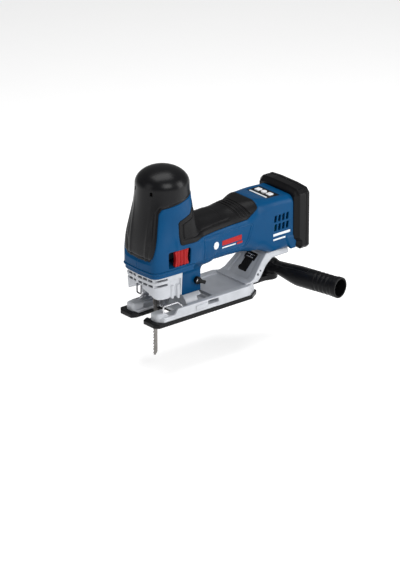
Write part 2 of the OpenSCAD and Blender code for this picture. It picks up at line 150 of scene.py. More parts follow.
# ---------------------------------------------------------------- materials
def material(name, color, rough, metallic=0.0, dark=None, scale=700.0, bump=0.15, spot=40.0, coat=0.0,
             stretch=(1, 1, 1), depth=0.0001, worn=None, shine=0.5):
    """A moulded, cast or machined surface: two-tone mottling, fine grain and worn edges."""
    m = bpy.data.materials.new(name)
    m.use_nodes = True
    t, nodes = m.node_tree, m.node_tree.nodes
    s = nodes["Principled BSDF"]
    place = nodes.new("ShaderNodeTexCoord")
    turn = nodes.new("ShaderNodeMapping")
    turn.inputs["Scale"].default_value = stretch
    t.links.new(place.outputs["Object"], turn.inputs["Vector"])

    def noise(size, detail):
        n = nodes.new("ShaderNodeTexNoise")
        n.inputs["Scale"].default_value = size
        n.inputs["Detail"].default_value = detail
        t.links.new(turn.outputs["Vector"], n.inputs["Vector"])
        return n

    broad, grain = noise(spot, 4.0), noise(scale, 3.0)
    mix = nodes.new("ShaderNodeMix")
    mix.data_type = "RGBA"
    mix.inputs["A"].default_value = (*color, 1)
    mix.inputs["B"].default_value = (*(dark or [c * 0.78 for c in color]), 1)
    ramp = nodes.new("ShaderNodeMapRange")
    ramp.inputs["From Min"].default_value = 0.35
    ramp.inputs["From Max"].default_value = 0.75
    t.links.new(broad.outputs["Fac"], ramp.inputs["Value"])
    t.links.new(ramp.outputs["Result"], mix.inputs["Factor"])
    geo = nodes.new("ShaderNodeNewGeometry")
    edge = nodes.new("ShaderNodeMapRange")
    edge.inputs["From Min"].default_value = 0.53
    edge.inputs["From Max"].default_value = 0.62
    edge.inputs["To Max"].default_value = 0.55
    t.links.new(geo.outputs["Pointiness"], edge.inputs["Value"])
    wear = nodes.new("ShaderNodeMix")
    wear.data_type = "RGBA"
    t.links.new(edge.outputs["Result"], wear.inputs["Factor"])
    t.links.new(mix.outputs["Result"], wear.inputs["A"])
    wear.inputs["B"].default_value = (*(worn or [min(1, c * 1.5 + 0.02) for c in color]), 1)
    t.links.new(wear.outputs["Result"], s.inputs["Base Color"])
    rough_range = nodes.new("ShaderNodeMapRange")
    rough_range.inputs["To Min"].default_value = max(rough - 0.07, 0.04)
    rough_range.inputs["To Max"].default_value = min(rough + 0.09, 1)
    t.links.new(grain.outputs["Fac"], rough_range.inputs["Value"])
    t.links.new(rough_range.outputs["Result"], s.inputs["Roughness"])
    b = nodes.new("ShaderNodeBump")
    b.inputs["Strength"].default_value = bump
    b.inputs["Distance"].default_value = depth
    t.links.new(grain.outputs["Fac"], b.inputs["Height"])
    t.links.new(b.outputs["Normal"], s.inputs["Normal"])
    s.inputs["Metallic"].default_value = metallic
    s.inputs["Specular IOR Level"].default_value = shine
    s.inputs["Coat Weight"].default_value = coat
    s.inputs["Coat Roughness"].default_value = 0.2
    return m


BLUE = material("blue_moulded", (0.0008, 0.054, 0.15), 0.32, scale=900, bump=0.25, spot=25,
                dark=(0.0006, 0.045, 0.127), worn=(0.004, 0.086, 0.22), shine=0.1)
BLACK = material("black_moulded", (0.0036, 0.0036, 0.0044), 0.32, scale=1100, bump=0.35, spot=30,
                 dark=(0.0032, 0.0032, 0.0038), worn=(0.016, 0.016, 0.019), shine=0.14)
HOOD = material("hood_soft_black", (0.004, 0.004, 0.005), 0.28, scale=1500, bump=0.2, spot=30,
                dark=(0.004, 0.004, 0.0048), worn=(0.02, 0.02, 0.023), shine=0.18)
RUBBER = material("grip_rubber", (0.0045, 0.0045, 0.005), 0.40, scale=1300, bump=0.5, spot=60,
                  dark=(0.004, 0.004, 0.0045), worn=(0.016, 0.016, 0.018), shine=0.13)
SILVER = material("cast_aluminium", (0.45, 0.465, 0.495), 0.38, metallic=0.15, scale=850, bump=0.3, spot=60,
                  dark=(0.37, 0.385, 0.41), worn=(0.64, 0.65, 0.68))
BLADE = material("blade_steel", (0.21, 0.20, 0.19), 0.36, metallic=0.9, scale=500, bump=0.4, spot=120)
SILVER_DARK = material("cast_bare", (0.42, 0.43, 0.45), 0.42, metallic=0.8, scale=500, bump=0.5, spot=80)
STEEL = material("ground_steel", (0.50, 0.50, 0.52), 0.26, metallic=1.0, scale=600, bump=0.2, spot=90,
                 stretch=(1, 1, 0.06))
DARK_STEEL = material("black_steel", (0.10, 0.10, 0.11), 0.34, metallic=0.9, scale=700, bump=0.3, spot=90)
RED = material("red_moulded", (0.38, 0.009, 0.011), 0.32, scale=900, bump=0.25, spot=40,
               dark=(0.30, 0.007, 0.008), worn=(0.55, 0.04, 0.04), shine=0.2)
BRONZE = material("sintered_bronze", (0.45, 0.30, 0.13), 0.4, metallic=0.9, scale=1200, bump=0.5, spot=200)
COPPER = material("varnished_copper", (0.55, 0.23, 0.08), 0.3, metallic=0.9, scale=300, bump=0.8, spot=90,
                  stretch=(0.1, 1, 1))
BOARD = material("board_lacquer", (0.012, 0.14, 0.06), 0.3, scale=500, bump=0.4, spot=150, coat=0.4)
WHITE = material("key_white", (0.78, 0.79, 0.81), 0.3, scale=900, bump=0.1, spot=60, coat=0.3)
LENS = material("frosted_lens", (0.75, 0.80, 0.85), 0.2, scale=900, bump=0.1, spot=80, coat=0.5)
PRINT = material("light_print", (0.70, 0.74, 0.78), 0.45, scale=900, bump=0.1, spot=200)
LEAD = material("silicone_lead", (0.4, 0.02, 0.02), 0.45, scale=700, bump=0.3, spot=100)
FLOOR = material("pale_floor", (0.90, 0.90, 0.90), 0.6, scale=20, bump=0.02, spot=2, dark=(0.88, 0.88, 0.88))
floor_inputs = FLOOR.node_tree.nodes["Principled BSDF"].inputs
floor_inputs["Emission Color"].default_value = (1, 1, 1, 1)
floor_inputs["Emission Strength"].default_value = 0.40


def add(piece, body, nodes, look):
    """Gives a piece its look and its body, and hides the CAD nodes that it stands for."""
    piece.data.materials.clear()
    piece.data.materials.append(look)
    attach(piece, body)
    if nodes:
        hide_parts(*nodes)


# ---------------------------------------------------------------- the clamshell's form
TILT_Z = 4.0          # height of the base's tilt axis
ARCH_R = 49.2         # the rear arch's top, as a radius about that axis
SHAFT_X, SHAFT_Z = 61, 36      # the orbital lever's shaft
DUCT_X = 190          # the dust nozzle's pivot
CORNER_K = 4          # rounding between the column's planes
DOME_X, DOME_Z, DOME_R, DOME_TALL = 12, 180, 35.6, 23
# the column's half plans (x, |y|), and the barrel's stations along x with its sizes there
NOSE_OUTLINE = [(-30, 20), (-28.6, 28.5), (-22.5, 33.6), (-8, 35.8), (24, 36)]
REAR_OUTLINE = [(38, 36), (47, 30), (50, 20)]
STATIONS = [15, 45, 64, 100, 126, 148, 174, 208]
BARREL = {"low": [73.3, 73.3, 57.5, 57, 57, 56, 50, 50],
          "high": [120, 121, 122, 122.5, 124.5, 126.5, 123.5, 122],
          "half": [30, 30.5, 32.2, 32.5, 32.5, 32.8, 33, 33],
          "corner": [23, 23.5, 30, 30, 28, 19, 10, 10]}


def station(x, key):
    """A size of the barrel at x, eased from one station to the next."""
    value = np.zeros_like(x) + BARREL[key][0]
    for n in range(len(STATIONS) - 1):
        rise = BARREL[key][n + 1] - BARREL[key][n]
        value = value + rise * ease((x - STATIONS[n]) / (STATIONS[n + 1] - STATIONS[n]))
    return value


def column_plan(x, y, shift, inset=0.0):
    """The column seen from above: nose planes, cheeks and rear."""
    ay = np.abs(y)
    d = smax(-30 + shift - x, ay - 36, CORNER_K)
    for line in (NOSE_OUTLINE, REAR_OUTLINE):
        for a, b in zip(line, line[1:]):
            move = shift if line is NOSE_OUTLINE else 0
            dx, dy = b[0] - a[0], b[1] - a[1]
            n = math.hypot(dx, dy)
            plane = (-dy * (x - a[0] - move) + dx * (ay - a[1])) / n * (1 if dx > 0 else -1)
            d = smax(d, plane, CORNER_K)
    return smax(d, x - 50, CORNER_K) + inset


def column(x, y, z, bottom=73.2):
    """The upright front body, from the angular nose plan up to the round dome."""
    shift = np.interp(z, [96, 140, 165, 180], [0, 3.0, 5.2, 6.4])
    squash = DOME_R / DOME_TALL
    top = np.sqrt((x - DOME_X) ** 2 + y * y + (np.maximum(z - DOME_Z, 0) * squash) ** 2) - DOME_R
    waist = 1.8 * ease((z - 100) / 16) * (1 - ease((z - 150) / 25)) * ease((x + 18) / 20)
    t = ease((z - 104) / 78)
    return np.maximum((1 - t) * (column_plan(x, y, shift) + waist) + t * top, bottom - z)


def barrel(x, y, z):
    """The lying motor and grip body, a rounded box that changes from station to station."""
    low, high, half, r = (station(x, k) for k in ("low", "high", "half", "corner"))
    qy, qz = np.abs(y) - half + r, np.abs(z - (low + high) / 2) - (high - low) / 2 + r
    d = np.sqrt(np.maximum(qy, 0) ** 2 + np.maximum(qz, 0) ** 2) + np.minimum(np.maximum(qy, qz), 0) - r
    return np.maximum(np.maximum(d, x - 207.2), 15 - x)


def leg(x, y, z, low):
    """The narrow leg down to the base, flared upwards into the barrel."""
    half = 9 + 17 * ease((z - 47) / 27)
    d = smax(np.abs(x - 52.6) - 16.6, np.abs(y) - half, 3)
    return smax(d, low - z, 1)


def tilt_r(y, z):
    """Distance from the base's tilt axis."""
    return np.sqrt(y * y + (z - TILT_Z) ** 2)


def body_form(x, y, z):
    """The closed outside of the blue clamshell, hood and grip."""
    f = smin(column(x, y, z), barrel(x, y, z), 12)
    f = smin(f, np.maximum(leg(x, y, z, 52), z - 90), 14 * ease((z - 50) / 14) + 0.1)
    pocket = ARCH_R + 0.7 - tilt_r(y, z)
    f = np.where(x > 100, smax(f, pocket, 1.2), f)
    strut = slab(poly(x, z, [(193, 66), (207, 66), (207, 50), (200, 50)], 0.6), np.abs(y) - 31.4, 2.2, 1)
    return smin(f, strut, 3)


def hood_zone(x, y, z):
    """Below zero where the black hood replaces the blue shell."""
    side = poly(x, z, [(-60, 87), (-31.8, 87), (-19, 152), (-14, 160), (36, 170), (80, 179), (80, 260),
                       (-60, 260)], 4)
    front = box(x, y, z, (-60, -23.5, 87.5), (-12, 23.5, 150), 3)
    return np.minimum(side, front)


def grip_zone(x, z):
    """Below zero where the rubber lies on the shell."""
    return poly(x, z, [(17, 107), (15, 133), (33, 138), (46, 156), (80, 156), (123, 140), (137, 134),
                       (144, 128), (143, 121), (128, 111.5), (76, 109), (40, 106)], 4)


def label_zone(x, z):
    """Below zero on the sunk field on each side of the barrel."""
    return poly(x, z, [(60, 72), (123, 73), (132, 98), (58, 98)], 2)


# ---------------------------------------------------------------- shells
WALL = 3.0
SCREWS = [(14, 104), (58, 90), (126, 90), (160, 70), (198, 70), (198, 112)]


def clamshell(x, y, z):
    """Both blue halves as one: sunk label field, grip bed, slider window, vents, key bay, screw wells."""
    f = body_form(x, y, z)
    ay = np.abs(y)
    zone = label_zone(x, z)
    skin = f + 0.9 * ease(-zone / 0.8) * (ay > 12)
    skin = skin + 0.7 * np.exp(-((zone - 1.6) / 0.7) ** 2) * (ay > 12)
    skin = np.maximum(skin, np.minimum(-grip_zone(x, z), f + 2.3))
    skin = smax(skin, 0.12 - hood_zone(x, y, z), 0.7)
    skin = smax(skin, -box(x, ay, z, (-5.5, 29, 75.4), (29.6, 60, 97.6), 2.5), 0.8)
    for low in (80.5, 92.5):
        for n in range(4):
            lean, start = 0.12 * (z - low), 171.5 + 6.6 * n
            vent = box(x - lean, ay, z, (start, 25, low), (175.3 + 6.6 * n, 60, low + 9.4), 1.2)
            skin = smax(skin, -vent, 0.5)
    skin = smax(skin, -box(x, y, z, (168.3, -20.4, 119.9), (191.7, 20.4, 150), 1.5), 0.6)
    for sx, sz in SCREWS:
        head = np.sqrt((x - sx) ** 2 + (z - sz) ** 2) - 3.9
        skin = smax(skin, -np.maximum(head, 26 - y), 0.5)
    collar_room = np.maximum(column_plan(x, y, -1.4, -1.4), z - 73.35)
    skin = np.where(x < 36.5, np.maximum(skin, -collar_room), skin)
    return np.maximum(skin, -(f + WALL))


def half_shell(side):
    """One half, with a hair of a gap along the middle."""
    def field(x, y, z):
        return smax(clamshell(x, y, z), 0.06 - side * y, 0.3)
    return field


for side, name in ((-1, "left"), (1, "right")):
    lo, hi = (-32, -37 if side < 0 else 0, 49), (208, 0 if side < 0 else 37, 178)
    add(form("housing_shell_" + name, half_shell(side), lo, hi, FINE), "housing", ["housing_" + name],
        BLUE)


def hood(x, y, z):
    """The soft black hood over the front: two ridges, a framed edge and two small air slots."""
    f = column(x, y, z)
    ridge = 0.5 * np.exp(-((np.abs(y) - 15 - 0.02 * (z - 90)) / 2.2) ** 2) * (x < 0) * ease((182 - z) / 30)
    bevel = 0.7 * (1 - ease((z - 90) / 3)) * (x < 0)
    zone = hood_zone(x, y, z)
    frame_line = 0.6 * np.exp(-((zone + 3.2) / 0.6) ** 2)
    skin = f + bevel + 0.5 - ridge + frame_line
    for side in (-1, 1):
        skin = smax(skin, -box(x, side * y, z, (-40, 13.6, 173.5), (-14, 17.4, 178.5), 0.8), 0.4)
    skin = smax(skin, zone + 0.12, 1.0)
    return np.maximum(skin, -(f + WALL + 0.5))


add(form("hood_shell", hood, (-31, -37, 83), (51, 37, 209), FINE), "housing", ["front_hood"],
    HOOD)


def grip(x, y, z):
    """The rubber on the grip, with ribs across its rear and a groove round its field."""
    f = body_form(x, y, z)
    g = grip_zone(x, z)
    lean = x + 0.55 * (z - 128)
    skin = f - 0.35
    for place in (111, 116, 121, 126):
        skin = skin + 1.2 * np.exp(-((lean - place) / 0.9) ** 2) * ease((z - 110) / 5)
    skin = skin + 1.1 * np.exp(-((g + 7) / 0.9) ** 2) * (x < 104) - 0.35 * ease((-g - 7) / 1.5) * (x < 92)
    skin = smax(skin, g + 0.15, 1.4)
    return np.maximum(skin, -(f + 2.2))


add(form("grip_skin", grip, (10, -37.5, 101), (150, 37.5, 162), FINE), "housing", ["grip_cover"],
    RUBBER)


def ring(x, y, z):
    """The blue band and its rim between the clamshell and the gear housing."""
    band = smax(column_plan(x, y, 0, 1.2), np.abs(z - 69) - 4.1, 0.6)
    rim = smax(column_plan(x, y, 0, -0.9), np.abs(z - 71.9) - 1.4, 1.2)
    f = smin(band, rim, 0.8)
    inside = np.maximum(column_plan(x, y, 0, 5), 67.5 - z)
    hole = np.sqrt(x * x + y * y) - 12
    return np.maximum(np.maximum(np.maximum(f, -inside), -hole), x - 36)


add(form("collar_band", ring, (-32, -38, 64), (53, 38, 74), DETAIL), "housing", ["collar"],
    BLUE)


def leg_low(x, y, z):
    """The leg's lower part, hollowed below to ride on the base's round saddle."""
    skin = smax(leg(x, y, z, 18), z - 53, 0.5)
    skin = np.maximum(skin, 18.35 - tilt_r(y, z))
    bore = np.sqrt((x - SHAFT_X) ** 2 + (z - SHAFT_Z) ** 2) - 3.1
    return np.maximum(skin, -bore)


add(form("tilt_leg_shell", leg_low, (34, -24, 17), (71, 24, 61), DETAIL), "housing", ["tilt_leg"],
    BLUE)


def gearbox(x, y, z):
    """The silver casting under the collar, hollow round the blade clamp and the roller fork."""
    ay = np.abs(y)
    outer = smax(column_plan(x, y, 0.4, 2.6 + 0.06 * (65 - z)), z - 64.8, 0.6)
    outer = smax(outer, x - 19, 1)
    panel = slab(poly(x, z, [(0, 30), (0, 50), (5, 56), (15, 56), (15, 30)], 1.5), ay - 36, 6.5, 0.5)
    outer = smax(outer, -panel, 1.0)
    boss = np.maximum(np.minimum(np.hypot(x - 3.5, ay - 29.0), np.hypot(x - 12.5, ay - 30.0)) - 2.6, z - 50)
    outer = smin(outer, np.maximum(boss, ay - 33), 1.2)
    for high in (60.8, 53.6):
        slot = np.maximum(np.abs(z - high) - 1.5, np.maximum(x + 5, -(outer + 5)))
        bars = np.minimum(np.abs(y - 5) - 1.6, np.abs(np.mod(y + 30, 9.5) - 4.7) - 0.7)
        outer = smax(outer, -np.maximum(slot, -bars), 0.4)
    skirt = smax(outer, 41.5 - tilt_r(y, z), 1.6)
    neck = smax(np.maximum(smax(ay - 9, np.abs(x - 7.5) - 23.4, 2.5), z - 60), 33.2 - z, 1)
    f = smin(skirt, neck, 1.5)
    f = np.maximum(f, -np.maximum(np.hypot(x, y) - 10.6, z - 71))
    f = smax(f, -box(x, y, z, (-60, -6.4, 20), (9, 6.4, 50), 0.8), 0.5)
    f = np.maximum(f, -box(x, y, z, (7, -7.4, 20), (29, 7.4, 60.5)))
    core = np.maximum(column_plan(x, y, 0.4, 7), np.maximum(46 - z, 10.9 - np.hypot(x, y)))
    core = np.maximum(core, np.maximum(12 - ay, 45.5 - tilt_r(y, z)))
    f = np.maximum(f, -core)
    lamp = np.hypot(x + 14, ay - 14) - 2.5
    f = np.maximum(f, -np.maximum(lamp, z - 47))
    pin = np.hypot(x - 22, z - 52) - 2.05
    return np.maximum(f, -pin)


add(form("gear_casting", gearbox, (-31, -35, 32), (35, 35, 65.5), DETAIL), "housing", ["gear_housing"],
    SILVER)


def rear_plate(x, y, z):
    """The black battery flange, bevelled in front, with its rail pocket open at the bottom."""
    ay = np.abs(y)
    edge = poly(ay, z, [(-5, 48.2), (34, 48.2), (37, 51.5), (37.4, 122.6), (33, 127.4), (16, 128.8),
                        (-5, 128.8)], 2)
    front = 207.6 - 4.4 * ease((z - 58) / 6) + 5.5 * ease((edge + 6) / 6) - x
    f = smax(smax(edge, front, 1.2), x - 225.9, 1.2)
    f = f + 0.8 * np.exp(-((x - 220) / 0.6) ** 2)
    f = smax(f, -box(x, y, z, (215, -31, 20), (222, 31, 112), 1), 0.3)
    return smax(f, -box(x, y, z, (215, -26, 20), (240, 26, 112), 1), 0.8)


add(form("battery_flange", rear_plate, (202.5, -40, 45.8), (226.2, 40, 131.2), DETAIL), "housing",
    ["battery_mount"], BLACK)


# ---------------------------------------------------------------- base
def base_plan(x, y, hw, x0, x1, r):
    """The base seen from above, with cut corners at the rear."""
    outline = [(x0, -5), (x0, hw - 5), (x0 + 4, hw), (x1 - 14, hw), (x1, hw - 9), (x1, -5)]
    return poly(x, np.abs(y), outline, r)


def slot_plan(x, y, hw, mouth):
    """The blade's slot from above, open and widening at the front."""
    outline = [(-50, -5), (-50, mouth + 12), (-23, hw), (18, hw), (21, hw - 4), (21, -5)]
    return poly(x, np.abs(y), outline, 0.5)


def shoe(x, y, z):
    """The black glide shoe: a sole with a low rim, ribbed in front."""
    f = slab(base_plan(x, y, 37.5, -28.5, 143.5, 1.5), z - 3, 3, 0.9)
    f = np.maximum(f, -np.maximum(base_plan(x, y, 37.6, -20, 143.4, 0.05), 2.5 - z))
    f = smax(f, -np.maximum(slot_plan(x, y, 8.6, 10), np.abs(z) - 9), 0.5)
    channel = box(x, y, z, (140, -9.1, 2.5), (150, 9.1, 9))
    for n in range(6):
        rib = np.abs(np.abs(y) - 20 + 2.6 * (n - 2.5)) - 0.5
        f = np.maximum(f, -np.maximum(rib, np.maximum(5.6 - z, x + 21.5)))
    return np.maximum(f, -channel)


add(form("glide_shoe", shoe, (-30.5, -39.5, -0.2), (145.5, 39.5, 6.2), DETAIL), "base", ["sole_shoe"],
    BLACK)


def casting(x, y, z):
    """The base casting: rails, rear deck, floor, front feet, tilt saddle and the guide bar's slot."""
    ay = np.abs(y)
    out = base_plan(x, y, 34.5, -18, 140, 3) + 0.12 * np.maximum(z - 6, 0)
    low_front = 11.5 + 6.5 * ease((x - 2) / 8)
    rail_top = z - np.where(x < 40, low_front, 18.0)
    rail = smax(smax(out, 28.2 - ay, 1.5), rail_top, 1.6)
    deck = smax(smax(out, z - 17, 1.2), 73 - x, 2)
    deck = smax(deck, -np.maximum(box(x, ay, z, (78, -30, 15.6), (126, 27, 30), 1.5), -9), 0.6)
    floor = smax(base_plan(x, y, 36, -19, 140, 1.4), z - 7, 0.6)
    f = smin(smin(rail, deck, 2.5), floor, 1.2)
    knob = slab(poly(x, ay, [(-19, 20), (-19, 28), (-7, 30), (-7, 20)], 3.5), z - 9.2, 7, 3.5)
    f = smin(f, knob, 1.5)
    saddle = smax(tilt_r(y, z) - 18, np.abs(x - 52) - 13.8, 0.6)
    f = smin(f, np.maximum(saddle, 5 - z), 1.0)
    scoop = slab(poly(x, z, [(-6, 10), (26, 12), (26, 30), (-6, 30)], 2), ay - 27.5, 5.5, 2)
    f = smax(f, -scoop, 1.0)
    f = smax(f, 2.6 - z, 0.4)
    f = smax(f, -np.maximum(slot_plan(x, y, 13.6, 16), np.abs(z) - 60), 0.8)
    f = smax(f, -box(x, ay, z, (58, -80, 11), (75, 80, 16), 0.8), 0.6)
    f = smax(f, -box(x, y, z, (76, -9.2, 0), (150, 9.2, 10.9), 0.4), 0.3)
    plate = slab(poly(x, z, [(38, 9), (38, 14), (55, 14.6), (55, 9.6)], 0.6), ay - 37, 0.7, 0.3)
    f = smin(f, plate, 0.4)
    f = smax(f, -box(x, ay, z, (82, 13, 0), (140, 28, 13), 1), 0.4)
    for sx in (129, 135):
        f = np.maximum(f, -np.maximum(np.hypot(x - sx, ay - 24) - 2.0, 8 - z))
    return f


add(form("base_casting", casting, (-29, -38, 2.4), (144, 38, 22.5), DETAIL), "base", ["base_plate"],
    SILVER)

LEVER_P = np.array([148.5, 0, 25.5])
ROOT2 = math.sqrt(0.5)


def lever_frame(x, z):
    """Along and across the arch's slope, from the lever's pin."""
    dx, dz = x - LEVER_P[0], z - LEVER_P[2]
    return (dx + dz) * ROOT2, (dz - dx) * ROOT2


def arch(x, y, z):
    """The silver rear arch, with a sunk field and an opening for the clamp lever."""
    ay = np.abs(y)
    profile = poly(x, z, [(127, 18.0), (127, 18.4), (134, 18.5), (141, 21), (149, 29.5), (158, 38.6),
                          (167, 46.5), (172, 52), (176, 60), (203, 60), (203, 41.4), (176, 41.4), (164, 34.5),
                          (152, 22.5), (146, 18.0)], 1)
    width = ay - np.interp(z, [17, 30, 48, 60], [31, 27, 22, 21.6])
    f = smax(profile, width, 1.4)
    f = smax(f, tilt_r(y, z) - ARCH_R, 0.8)
    under = smax(np.maximum(tilt_r(y, z) - (ARCH_R - 5.5), ay - 18.2), 172.5 - x, 1)
    f = smax(f, -under, 0.8)
    a, c = lever_frame(x, z)
    dish = slab(poly(a, ay, [(-12, -5), (-12, 19), (24, 14.5), (24, -5)], 1), c - 5.5, 3.2, 1)
    f = smax(f, -dish, 1.0)
    opening = poly(a, ay, [(-3.5, -5), (-3.5, 7.5), (13.9, 7.5), (13.9, 10.1), (24.3, 10.1), (24.3, -5)], 0.2)
    f = smax(f, -np.maximum(opening, np.abs(c) - 16), 0.5)
    f = np.maximum(f, -(np.hypot(x - LEVER_P[0], z - LEVER_P[2]) - 1.62))
    hole = np.hypot(x - 153.5, z - 29) - 1.3
    f = smax(f, -np.maximum(hole, 24 - ay), 0.3)
    return np.maximum(f, 17.06 - z)


add(form("rear_bracket", arch, (125, -32, 17), (205, 32, 54), DETAIL), "base", ["rear_arch"],
    SILVER)


def lever(x, y, z):
    """The lever that clamps the tilt, lying in the arch's opening."""
    ay = np.abs(y)
    a, c = lever_frame(x, z)
    plate = slab(poly(a, ay, [(1, -5), (1, 6.3), (15, 6.3), (15, 8.9), (23, 8.9), (23, -5)], 1), c, 2.6, 0.8)
    hub = disc(a, c, y, 3.4, -7.9, 7.9, 0.6)
    f = smin(plate, hub, 1.0)
    for n in range(4):
        f = f + 0.5 * np.exp(-((a - 4 - 2.4 * n) / 0.5) ** 2) * (c > 1) * (ay < 5)
    f = smax(f, -box(a, y, c, (16.4, -7, 1.2), (21.6, 7, 6), 0.6), 0.4)
    return np.maximum(f, -(np.hypot(a, c) - 1.66))


add(form("quick_lever", lever, (140, -11, 18), (170, 11, 46), DETAIL), "lever", ["clamp_lever"],
    BLACK)


def lever_rib_highlights(x, y, z):
    """Three raised bars in the lever's recess, in bright steel as a painted highlight for the lit edges of the
    lever's ribs.
    """
    a, c = lever_frame(x, z)
    f = np.minimum(box(a, y, c, (16.2, -6.6, 0.6), (17.4, 6.6, 2.9), 0.3),
                   box(a, y, c, (20.2, -6.6, 0.6), (21.4, 6.6, 2.9), 0.3))
    return np.minimum(f, box(a, y, c, (16.2, -0.6, 0.6), (21.4, 0.6, 2.9), 0.3))


# the bars' bright steel colour is a painted highlight standing in for the lit rib edges
add(form("quick_lever_rib_highlights", lever_rib_highlights, (155, -8, 34), (170, 8, 46), 0.3), "lever", [], STEEL)


def duct(x, y, z):
    """The flat channel under the base, with the nozzle's socket at its end."""
    bar = box(x, y, z, (78, -9, 2.6), (184, 9, 10.6), 1.6)
    boss = smax(np.hypot(x - DUCT_X, y) - 12, np.abs(z - 7.3) - 4.7, 1.2)
    f = smin(bar, boss, 2)
    f = np.maximum(f, -box(x, y, z, (70, -7.4, 4.2), (DUCT_X, 7.4, 9)))
    return np.maximum(f, -np.maximum(np.hypot(x - DUCT_X, y) - 9.1, 5 - z))


add(form("dust_channel", duct, (77, -12.5, 2.4), (203, 12.5, 12.3), DETAIL), "base", ["dust_duct"],
    BLACK)

NOZZLE_TURN = math.radians(-77.7)


def nozzle_local(x, y):
    """Along and across the nozzle, from its pivot."""
    c, s = math.cos(NOZZLE_TURN), math.sin(NOZZLE_TURN)
    return (x - DUCT_X) * c + y * s, -(x - DUCT_X) * s + y * c


def nozzle(x, y, z):
    """The swivelling hose nozzle: oval body, sunk side, four rings, a lip and a bore right through."""
    a, b = nozzle_local(x, y)
    t = ease((a - 10) / 44)
    width, tall = 11 + 2.4 * t, 7.8 + 5.6 * t
    mid_z = 20 - 3.5 * t
    body = (np.sqrt((b / width) ** 2 + ((z - mid_z) / tall) ** 2) - 1) * np.minimum(width, tall)
    body = smax(body, np.maximum(-a, a - 115.8), 1)
    head = disc(a, b, z, 11.4, 12.3, 27.6, 3)
    f = smin(body, head, 4)
    sunk = poly(a, z, [(12, 27), (34, 25), (42, 19), (58, 19), (66, 25), (66, 40), (12, 40)], 2)
    step = slab(sunk, b, 7.5, 2)
    f = f + 0.9 * ease(-step / 1.5)
    f = np.where(a < 12.6, np.maximum(f, 12.3 - z), f)
    for place in (82, 88.5, 95, 101.5):
        f = f + 0.7 * np.exp(-((a - place) / 1.5) ** 4)
    lip = disc(b, z - 16.5, a, 13.95, 109, 115.9, 0.8)
    f = smin(f, lip, 0.6)
    spigot = disc(a, b, z, 9.0, 6.1, 16, 0.4)
    f = np.minimum(f, spigot)
    bore = np.maximum(np.hypot(b, z - 16.5) - 11.6, 44 - a)
    f = smax(f, -bore, 0.7)
    throat = rod(a, b, z, (2, 0, 19), (50, 0, 17), 6.4)
    drop = np.maximum(np.hypot(a, b) - 7.4, z - 19)
    return np.maximum(np.maximum(f, -throat), -drop)


add(form("hose_nozzle", nozzle, (175, -117, 2), (231, 14, 31), DETAIL), "nozzle", ["dust_nozzle"],
    BLACK)


# ---------------------------------------------------------------- controls
SLIDER_X = 15.5
RIB_PITCH = 5.2


def slider(x, y, z):
    """The red switch slider, waisted and dished, with ribs across it."""
    ay, dx = np.abs(y), x - SLIDER_X
    pinch = 1.8 * (1 - ((z - 86.5) / 10) ** 2)
    face = slab(poly(x, z, [(6, 78), (25, 78), (25, 95), (6, 95)], 2), ay - 33, 3.2, 1)
    f = smax(face, np.abs(dx) - 11.4 + pinch, 1.0)
    wave = 1.1 * np.cos(dx * 2 * math.pi / RIB_PITCH)
    dish = 1.3 * np.exp(-((x - 15) / 7) ** 2)
    return smax(f, ay - (35.3 + wave * (np.abs(dx) < 9.1)) + dish, 0.6)


for side, name in ((-1, "left"), (1, "right")):
    lo, hi = (1.5, -37 if side < 0 else 29, 75.5), (28.5, -29 if side < 0 else 37, 97.5)
    add(form("slide_switch_" + name, slider, lo, hi, 0.4), "switch", ["switch_" + name], RED)


KNOB_TURN = math.radians(25)


def orbit_knob(x, y, z):
    """The orbital lever on the leg's left side."""
    dx, dz = x - SHAFT_X, z - SHAFT_Z
    hub = disc(dx, dz, y, 5.0, -14, -9.3, 0.8)
    c, s = math.cos(KNOB_TURN), math.sin(KNOB_TURN)
    u, v = dx * c - dz * s, dx * s + dz * c
    wing = slab(poly(u, v, [(1, -1.4), (11.5, -1.3), (11.5, 1.3), (1, 1.4)], 1), y + 12.5, 2.4, 1)
    f = smin(hub, wing, 1.5)
    return np.maximum(f, -np.maximum(np.hypot(dx, dz) - 2.9, -13.7 - y))


add(form("orbit_selector", orbit_knob, (54, -15.2, 27), (76, -9, 43), 0.4), "orbit", ["orbital_lever"],
    BLACK)

KEY_X = 182
KEY_TOP = 123.6       # the keys' marks are cut above this height


def panel(x, y, z):
    """The control panel on top, with three openings for its keys."""
    f = slab(poly(x, y, [(171, -18), (189, -18), (189, 18), (171, 18)], 1.8), z - 121.4, 1.45, 0.5)
    for ky in (-11, 0, 11):
        f = smax(f, -box(x, y, z, (177.8, ky - 4.2, 121.4), (186.2, ky + 4.2, 130), 0.8), 0.3)
    return f


add(form("panel_plate", panel, (168.8, -20.2, 119.8), (191.2, 20.2, 123.1), 0.4), "housing",
    ["control_panel"], BLACK)
add(form("panel_light", lambda x, y, z: box(x, y, z, (170.6, -16.8, 122.6), (173.2, 16.8, 123.25), 0.3),
         (170, -18, 122), (174, 18, 124), 0.3), "housing", ["light_bar"], LENS)


def square_key(place, cross):
    """A key at y = place, dented with a bar, or with a cross."""
    def field(x, y, z):
        f = box(x, y - place, z, (178.1, -3.9, 122.1), (185.9, 3.9, 124.25), 0.9)
        ax, ay = np.abs(x - KEY_X), np.abs(y - place)
        dent = np.maximum(ax - 0.4, ay - 2)
        if cross:
            dent = np.minimum(np.maximum(ax - 2, ay - 0.4), dent)
        return f + 0.35 * ease(-dent / 0.4 + 0.5) * (z > KEY_TOP)
    return field


for name, place, cross, body in (("minus", -11, False, "key_a"), ("plus", 11, True, "key_c")):
    lo, hi = (177.8, place - 4.2, 122), (186.2, place + 4.2, 124.5)
    add(form("panel_key_" + name, square_key(place, cross), lo, hi, 0.25), body, ["key_" + name],
        WHITE)


